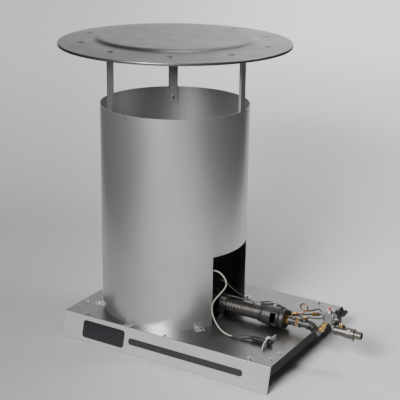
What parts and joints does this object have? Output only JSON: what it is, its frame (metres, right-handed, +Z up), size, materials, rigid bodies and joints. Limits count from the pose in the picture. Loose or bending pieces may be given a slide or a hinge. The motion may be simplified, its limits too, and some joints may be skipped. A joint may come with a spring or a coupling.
{
  "type": "portable gas convection heater",
  "caption": "Open sheet-metal stack on a low base with a deflector dish held above it on straps, fed by a gas burner and valve train at its foot.",
  "frame": {"origin": "on the floor, below the middle of the whole heater's box", "axes": "+Z up, +X from the stack towards the gas inlet, -Y towards the front skirt with the blank plate"},
  "size_m": [0.8369, 0.587, 0.786],
  "materials": {
    "aluminised_steel": "satin mill finish",
    "dish_steel": "satin mill finish, spun",
    "base_steel": "smooth semi-gloss",
    "zinc_steel": "bright zinc plate",
    "cast_iron": "sand-cast, heat darkened",
    "black_pipe": "black oxide steel, satin",
    "burner_steel": "heat-stained steel tube",
    "brass": "turned, bright",
    "die_cast": "die-cast, matt",
    "valve_dark": "dark bronze plate, satin",
    "black_plastic": "moulded",
    "red_plastic": "moulded",
    "black_rubber": "moulded",
    "lead_jacket": "silicone over glass braid",
    "tube_aluminium": "drawn, matt",
    "copper": "drawn copper, dulled",
    "ceramic_white": "glazed alumina",
    "spring_steel": "drawn wire",
    "badge_dark": "enamelled plate, blank",
    "stripe_dark": "printed band"
  },
  "bodies": {
    "heater": {"base_plate": "base_steel", "front_skirt": "base_steel", "rear_skirt": "base_steel", "base_screws": "zinc_steel", "badge_plate": "badge_dark", "skirt_stripe": "stripe_dark", "stack": "aluminised_steel", "stack_feet": "aluminised_steel", "dish_strap_right": "aluminised_steel", "dish_strap_rear": "aluminised_steel", "dish_strap_left": "aluminised_steel", "strap_screws": "zinc_steel", "deflector_dish": "dish_steel", "dish_nuts": "zinc_steel", "burner_bowl": "cast_iron", "burner_cap": "cast_iron", "flame_spreader": "burner_steel", "burner_mount": "aluminised_steel", "burner_tube": "burner_steel", "tube_saddle": "zinc_steel", "mixer_body": "cast_iron", "orifice_holder": "brass", "gas_orifice": "brass", "pipe_coupling": "black_pipe", "hex_nipple": "brass", "pipe_tee": "black_pipe", "tee_plug": "brass", "outlet_pipe": "black_pipe", "outlet_elbow": "black_pipe", "outlet_nipple": "brass", "safety_valve_body": "die_cast", "magnet_unit": "brass", "reset_spring": "spring_steel", "valve_cap": "zinc_steel", "inlet_elbow": "zinc_steel", "inlet_valve_body": "valve_dark", "packing_nut": "brass", "pilot_bracket": "aluminised_steel", "pilot_burner": "brass", "thermocouple": "copper", "spark_electrode": "ceramic_white", "pilot_tube": "tube_aluminium", "pilot_tube_nuts": "zinc_steel", "thermocouple_lead": "copper", "capillary_tube": "tube_aluminium", "limit_lead": "copper", "lead_loom": "black_rubber", "loom_clip": "zinc_steel", "igniter_bracket": "zinc_steel", "igniter_body": "black_plastic", "igniter_nut": "black_plastic", "igniter_boot": "black_rubber", "igniter_lead": "lead_jacket", "plate_screws": "zinc_steel"},
    "igniter_button": {"igniter_button": "black_plastic"},
    "reset_button": {"reset_button": "red_plastic"},
    "valve_handle": {"valve_stem": "zinc_steel", "valve_handle": "black_plastic"},
    "air_shutter": {"air_shutter": "zinc_steel"},
    "inlet_nut": {"inlet_nut": "valve_dark"}
  },
  "joints": [
    {"name": "igniter_press", "type": "slide", "parent": "heater", "child": "igniter_button", "axis": [-1, 0, 0], "range_m": [0, 0.003], "stiffness_N_per_m": 1200, "springref_m": -0.002},
    {"name": "reset_press", "type": "slide", "parent": "heater", "child": "reset_button", "axis": [0, 0, -1], "range_m": [0, 0.004], "stiffness_N_per_m": 600, "springref_m": -0.002, "deforming": ["reset_spring"]},
    {"name": "valve_turn", "type": "hinge", "parent": "heater", "child": "valve_handle", "pos_m": [0.3655, 0, 0.144], "axis": [0, 0, 1], "range_deg": [0, 90]},
    {"name": "shutter_turn", "type": "hinge", "parent": "heater", "child": "air_shutter", "pos_m": [0.1805, 0, 0.0965], "axis": [1, 0, 0], "range_deg": [0, 90]},
    {"name": "nut_swivel", "type": "hinge", "parent": "heater", "child": "inlet_nut", "pos_m": [0.4045, 0, 0.1015], "axis": [1, 0, 0], "continuous": true}
  ]
}
